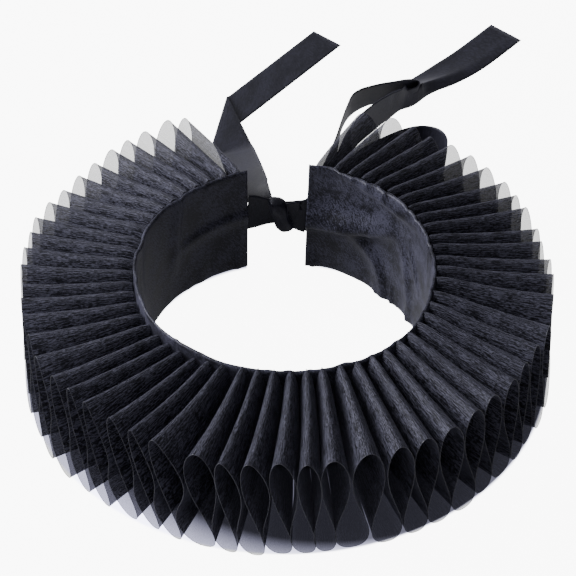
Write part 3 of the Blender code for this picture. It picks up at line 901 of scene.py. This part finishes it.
class RuffCollarSizes(bpy.types.PropertyGroup):
    """Sizes of the collar's pieces"""

    ruff_radius: FloatProperty(
        name="Ruff radius",
        description="From the neck's axis to the outer edge of the pleats",
        default=0.110,
        min=0.08,
        unit="LENGTH",
    )
    ruff_height: FloatProperty(
        name="Ruff height",
        description="From the lower loops of the pleats to the upper ones",
        default=0.0525,
        min=0.02,
        unit="LENGTH",
    )
    band_height: FloatProperty(
        name="Band height",
        description="Height of the neck band",
        default=0.0565,
        min=0.02,
        unit="LENGTH",
    )
    edge_thread: FloatProperty(
        name="Edge thread",
        description="Radius of the rolled edge of the organza strip",
        default=0.00012,
        min=0.0001,
        unit="LENGTH",
    )
    ribbon_thickness: FloatProperty(
        name="Ribbon thickness",
        description="Thickness of the satin ribbon",
        default=0.0004,
        min=0.0001,
        unit="LENGTH",
    )
    organza_cover: FloatProperty(
        name="Organza cover",
        description="Share of the light that one layer of the organza stops",
        default=0.85,
        min=0.2,
        max=1.0,
        subtype="FACTOR",
    )


def colour_property(name, description, code):
    """A colour that the panel shows, from its sRGB hex code."""
    return FloatVectorProperty(
        name=name, description=description, default=linear(code), size=4, subtype="COLOR"
    )


class RuffCollarColours(bpy.types.PropertyGroup):
    """Colours of the collar's cloths"""

    # The light colours are painted sheen and glints over each cloth's grain; the dark ones are its
    # black
    organza_dark: colour_property("Organza, dark", "Between the organza's threads", "#131317")
    organza_grain_and_sheen: colour_property("Organza, light", "Along the organza's threads", "#50505f")
    edge_dark: colour_property("Edge, dark", "Rolled edge in its dark places", "#0c0c10")
    edge_glint: colour_property("Edge, light", "Rolled edge where it catches light", "#50505f")
    band_dark: colour_property("Band, dark", "Neck band between its threads", "#030305")
    band_grain_and_glints: colour_property("Band, light", "Neck band along its threads", "#3b3b4a")
    ribbon_dark: colour_property("Ribbon, dark", "Ribbon between its threads", "#08080e")
    ribbon_grain_and_glints: colour_property("Ribbon, light", "Ribbon along its threads", "#1c1c26")


class RUFF_OT_neck_band(bpy.types.Operator):
    """Build the satin neck band"""

    bl_idname = "ruff_collar.neck_band"
    bl_label = "Neck band"

    def execute(self, context):
        sweep = math.radians(BAND_RIGHT_END_DEG - BAND_LEFT_END_DEG)
        length = sweep * (BAND_FORM[0][1] + BAND_WALL / 2) * MM
        tall = context.scene.ruff_collar_sizes.band_height
        band = grid_piece(
            "neck_band_satin",
            BAND_STEPS,
            BAND_ROUND_STEPS,
            band_shape,
            (length, 2 * tall),
            band_satin(),
        )
        bm = bmesh.new()
        bm.from_mesh(band.data)
        bmesh.ops.remove_doubles(bm, verts=bm.verts[:], dist=1e-6)
        rims = [edge for edge in bm.edges if edge.is_boundary]
        bmesh.ops.holes_fill(bm, edges=rims, sides=0)
        bmesh.ops.recalc_face_normals(bm, faces=bm.faces[:])
        bm.to_mesh(band.data)
        bm.free()
        belongs(band, "neck_band", slot="band_satin")
        return {"FINISHED"}


class RUFF_OT_frill(bpy.types.Operator):
    """Build the pleated organza strip and its rolled edge"""

    bl_idname = "ruff_collar.frill"
    bl_label = "Pleated strip"

    def execute(self, context):
        sizes = context.scene.ruff_collar_sizes
        edge_row = np.linspace(0, 1, PLEATS * STEPS_PER_PLEAT + 1)
        # at the neck, at the middle of the depth and at the outer edge
        rows = [frill_shape(edge_row, np.full_like(edge_row, share)) for share in (0.0, 0.5, 1.0)]
        lengths = [length_of(row) * MM for row in rows]
        wide = sizes.ruff_radius - (BAND_FORM[0][1] + BAND_WALL) * MM
        frill = grid_piece(
            "ruff_frill_organza",
            PLEATS * STEPS_PER_PLEAT,
            RADIAL_STEPS,
            frill_shape,
            (lengths[2], wide),
            organza_material(),
        )
        belongs(frill, "ruff_frill", slot="organza")
        edge = tube("ruff_frill_edge", rows[2], sizes.edge_thread / MM, thread_material())
        belongs(edge, slot="organza")
        return {"FINISHED"}


class RUFF_OT_ties(bpy.types.Operator):
    """Build the ribbon ends at the gap, the two loops of the bow and its two tails"""

    bl_idname = "ruff_collar.ties"
    bl_label = "Ribbon ties"

    def execute(self, context):
        satin = ribbon_satin()
        left_tail = ribbon_edges(TAIL_LEFT) + folded_end()
        right_tail = ribbon_edges(TAIL_RIGHT)
        # name, edges, how far it is hollow, its fold, the node it stands for and how it is held
        pieces = (
            ("ribbon_left", ribbon_edges(TIE_LEFT), 0.8, NO_FOLD, "tie_left", "stretched"),
            ("ribbon_right", ribbon_edges(TIE_RIGHT), -0.8, NO_FOLD, "tie_right", "stretched"),
            ("bow_loop_back", ribbon_edges(LOOP_BACK), 0.3, NO_FOLD, "tie_loop_back", "draped"),
            ("bow_loop_side", ribbon_edges(LOOP_SIDE), 0.5, NO_FOLD, "tie_loop_side", "draped"),
            ("bow_tail_left", left_tail, 0.0, NO_FOLD, "tie_tail_left", "folded"),
            ("bow_tail_right", right_tail, 0.0, TAIL_RIGHT_FOLD, "tie_tail_right", "draped"),
        )
        for name, pairs, cup, fold, stands_for, held in pieces:
            piece, length = ribbon_piece(name, pairs, cup, fold, satin)
            belongs(piece, stands_for, slot="ribbon_satin")
        return {"FINISHED"}


class RUFF_OT_knot(bpy.types.Operator):
    """Build the knot of the bow"""

    bl_idname = "ruff_collar.knot"
    bl_label = "Knot"

    def execute(self, context):
        bm = bmesh.new()
        bm.loops.layers.uv.new("cloth")
        bmesh.ops.create_uvsphere(bm, u_segments=64, v_segments=48, radius=1.0, calc_uvs=True)
        centre = Vector(KNOT_CENTRE)
        for vert in bm.verts:
            x, y, z = vert.co
            girth = 1 - KNOT_WAIST * math.exp(-((z / KNOT_WAIST_REACH) ** 2))
            girth *= 1 + sum(
                high * math.sin(a * x + b * z + start) for high, a, b, start in KNOT_WRAPS
            )
            square = KNOT_SQUARE_SIZE / math.sqrt(max(abs(x), abs(y), abs(z), KNOT_SQUARE_FROM))
            wide, deep, tall = KNOT_HALF
            spot = Vector((x * wide * girth, y * deep * girth, z * tall))
            spot.x -= KNOT_SLANT * spot.z
            vert.co = Vector(in_frame(centre + spot * square))
        for face in bm.faces:
            for loop in face.loops:
                uv = loop[bm.loops.layers.uv.active]
                uv.uv = (uv.uv[0] * KNOT_CLOTH[0], uv.uv[1] * KNOT_CLOTH[1])
        piece = finished("bow_knot", bm, ribbon_satin())
        belongs(piece, "tie_knot", slot="ribbon_satin")
        return {"FINISHED"}


class RUFF_OT_stage(bpy.types.Operator):
    """Build the pale floor, the soft lights and the camera"""

    bl_idname = "ruff_collar.stage"
    bl_label = "Stage"

    def execute(self, context):
        bm = bmesh.new()
        bmesh.ops.create_grid(bm, x_segments=1, y_segments=1, size=FLOOR_HALF)
        floor = finished("floor", bm, paper_material(), smooth=False)

        world = bpy.data.worlds.new("studio")
        world.use_nodes = True
        background = world.node_tree.nodes["Background"]
        background.inputs["Color"].default_value = linear("#ffffff")
        background.inputs["Strength"].default_value = WORLD_STRENGTH
        context.scene.world = world

        for light in LIGHTS:
            add_light(*light)
        context.scene.camera = add_camera()
        return {"FINISHED"}


class RUFF_PT_collar(bpy.types.Panel):
    """The collar's pieces, sizes and colours"""

    bl_idname = "RUFF_PT_collar"
    bl_label = "Ruff collar"
    bl_space_type = "VIEW_3D"
    bl_region_type = "UI"
    bl_category = "Ruff collar"

    def draw(self, context):
        for group in (context.scene.ruff_collar_sizes, context.scene.ruff_collar_colours):
            for name in group.bl_rna.properties.keys():
                if name not in ("rna_type", "name"):
                    self.layout.prop(group, name)
        for operator in OPERATORS:
            self.layout.operator(operator.bl_idname)


OPERATORS = (RUFF_OT_neck_band, RUFF_OT_frill, RUFF_OT_knot, RUFF_OT_ties, RUFF_OT_stage)
CLASSES = (RuffCollarSizes, RuffCollarColours, *OPERATORS, RUFF_PT_collar)


def register():
    for each in CLASSES:
        bpy.utils.register_class(each)
    bpy.types.Scene.ruff_collar_sizes = PointerProperty(type=RuffCollarSizes)
    bpy.types.Scene.ruff_collar_colours = PointerProperty(type=RuffCollarColours)


def unregister():
    del bpy.types.Scene.ruff_collar_colours
    del bpy.types.Scene.ruff_collar_sizes
    for each in reversed(CLASSES):
        bpy.utils.unregister_class(each)


def main():
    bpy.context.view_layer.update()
    register()
    bpy.ops.ruff_collar.stage()
    bpy.ops.ruff_collar.neck_band()
    bpy.ops.ruff_collar.frill()
    bpy.ops.ruff_collar.knot()
    bpy.ops.ruff_collar.ties()


if __name__ == "__main__":
    main()
